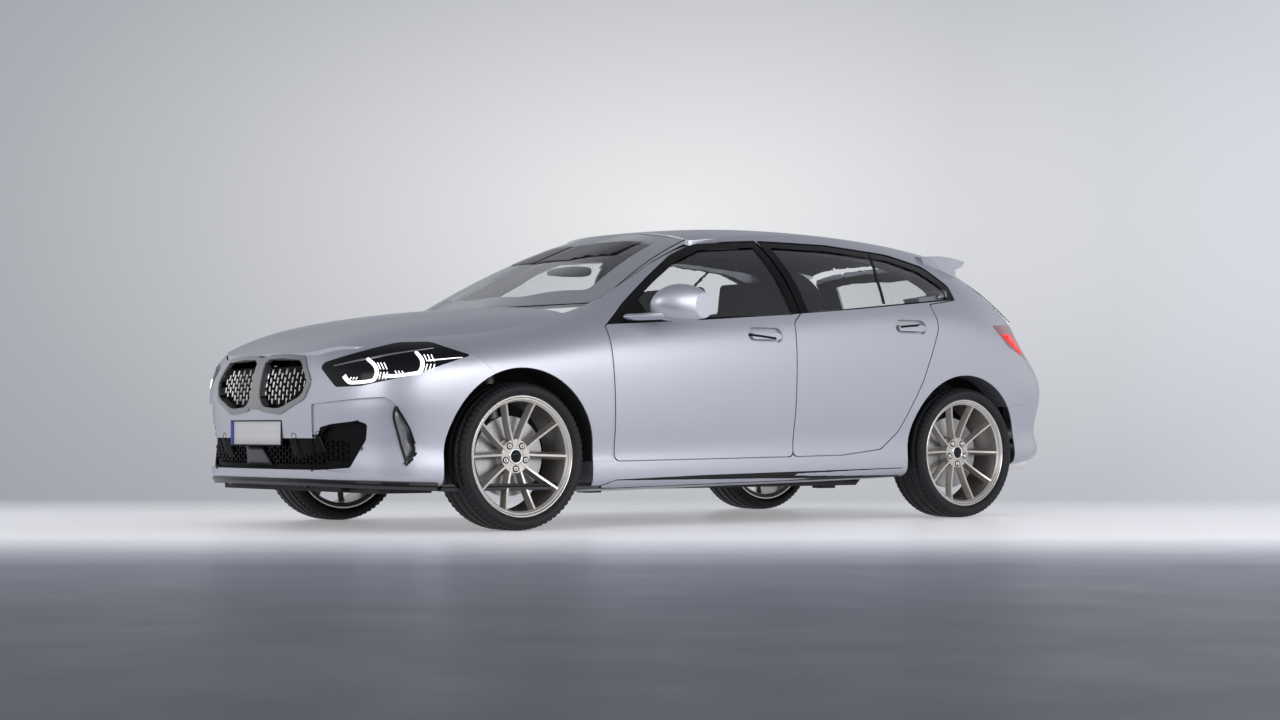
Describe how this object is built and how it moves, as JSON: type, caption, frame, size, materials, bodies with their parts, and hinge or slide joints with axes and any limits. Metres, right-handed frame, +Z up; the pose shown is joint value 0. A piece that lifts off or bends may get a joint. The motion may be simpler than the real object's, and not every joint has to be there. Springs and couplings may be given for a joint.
{
  "type": "five-door hatchback car",
  "caption": "Five-door hatchback car with opening doors, bonnet and tailgate, steered front wheels and free-rolling wheels.",
  "frame": {"origin": "on the ground under the middle of the car's box", "axes": "+Z up, the car faces -Y, its left side is +X"},
  "size_m": [2.0598, 4.3133, 1.4344],
  "materials": {
    "paint": "satin metallic paint",
    "inner_body": "dark primer",
    "glass": "clear tinted glass",
    "black_trim": "gloss black plastic",
    "tyre": "matt rubber",
    "alloy": "bright turned alloy",
    "steel": "machined iron",
    "chassis": "black coated steel",
    "trim": "dark grained plastic",
    "seat": "dark upholstery",
    "lamp": "dark lamp housing behind a clear lens",
    "tail_lens": "red lens"
  },
  "bodies": {
    "body": {"side_frame_left": "paint", "side_frame_right": "paint", "fender_left": "paint", "fender_right": "paint", "front_seat_left": "seat", "front_seat_right": "seat", "headlamp_left": "lamp", "headlamp_right": "lamp", "tail_lamp_left": "tail_lens", "tail_lamp_right": "tail_lens", "roof_panel": "paint", "front_bumper": "paint", "rear_bumper": "paint", "windscreen": "glass", "windscreen_frame": "black_trim", "underbody": "inner_body", "front_axle": "chassis", "rear_axle": "chassis", "rear_seat": "seat", "dashboard": "trim", "engine_block": "steel", "grille": "black_trim", "lower_grille": "black_trim", "exhaust": "chassis"},
    "front_door_left": {"door_front_left": "paint", "glass_front_left": "glass", "mirror_left": "paint"},
    "rear_door_left": {"door_rear_left": "paint", "glass_rear_left": "glass"},
    "front_wheel_left": {"wheel_front_left": "alloy", "tyre_front_left": "tyre", "brake_disc_front_left": "steel"},
    "rear_wheel_left": {"wheel_rear_left": "alloy", "tyre_rear_left": "tyre", "brake_disc_rear_left": "steel"},
    "steering_knuckle_left": {"knuckle_left": "chassis"},
    "front_door_right": {"door_front_right": "paint", "glass_front_right": "glass", "mirror_right": "paint"},
    "rear_door_right": {"door_rear_right": "paint", "glass_rear_right": "glass"},
    "front_wheel_right": {"wheel_front_right": "alloy", "tyre_front_right": "tyre", "brake_disc_front_right": "steel"},
    "rear_wheel_right": {"wheel_rear_right": "alloy", "tyre_rear_right": "tyre", "brake_disc_rear_right": "steel"},
    "steering_knuckle_right": {"knuckle_right": "chassis"},
    "hood_lid": {"bonnet": "paint"},
    "hatch": {"tailgate": "paint", "tailgate_glass": "glass"}
  },
  "joints": [
    {"name": "steer_left", "type": "hinge", "parent": "body", "child": "steering_knuckle_left", "pos_m": [0.681, -1.3175, 0.325], "axis": [-0.2149, 0, 0.9766], "range_deg": [-32, 32]},
    {"name": "front_wheel_spin_left", "type": "hinge", "parent": "steering_knuckle_left", "child": "front_wheel_left", "pos_m": [0.776, -1.3175, 0.325], "axis": [1, 0, 0], "continuous": true},
    {"name": "rear_wheel_spin_left", "type": "hinge", "parent": "body", "child": "rear_wheel_left", "pos_m": [0.776, 1.3525, 0.325], "axis": [1, 0, 0], "continuous": true},
    {"name": "steer_right", "type": "hinge", "parent": "body", "child": "steering_knuckle_right", "pos_m": [-0.681, -1.3175, 0.325], "axis": [0.2149, 0, 0.9766], "range_deg": [-32, 32]},
    {"name": "front_wheel_spin_right", "type": "hinge", "parent": "steering_knuckle_right", "child": "front_wheel_right", "pos_m": [-0.776, -1.3175, 0.325], "axis": [1, 0, 0], "continuous": true},
    {"name": "rear_wheel_spin_right", "type": "hinge", "parent": "body", "child": "rear_wheel_right", "pos_m": [-0.776, 1.3525, 0.325], "axis": [1, 0, 0], "continuous": true},
    {"name": "front_door_hinge_left", "type": "hinge", "parent": "body", "child": "front_door_left", "pos_m": [0.902, -0.851, 0.6], "axis": [0, 0, 1], "range_deg": [-68, 0]},
    {"name": "rear_door_hinge_left", "type": "hinge", "parent": "body", "child": "rear_door_left", "pos_m": [0.902, 0.231, 0.6], "axis": [0, 0, 1], "range_deg": [-68, 0]},
    {"name": "front_door_hinge_right", "type": "hinge", "parent": "body", "child": "front_door_right", "pos_m": [-0.902, -0.851, 0.6], "axis": [0, 0, 1], "range_deg": [0, 68]},
    {"name": "rear_door_hinge_right", "type": "hinge", "parent": "body", "child": "rear_door_right", "pos_m": [-0.902, 0.231, 0.6], "axis": [0, 0, 1], "range_deg": [0, 68]},
    {"name": "hood_hinge", "type": "hinge", "parent": "body", "child": "hood_lid", "pos_m": [0, -0.945, 1.01], "axis": [1, 0, 0], "range_deg": [-50, 0]},
    {"name": "hatch_hinge", "type": "hinge", "parent": "body", "child": "hatch", "pos_m": [0, 1.582, 1.362], "axis": [1, 0, 0], "range_deg": [0, 70]}
  ],
  "couplings": [
    {"joint": "steer_right", "follows": "steer_left", "ratio": 1}
  ]
}
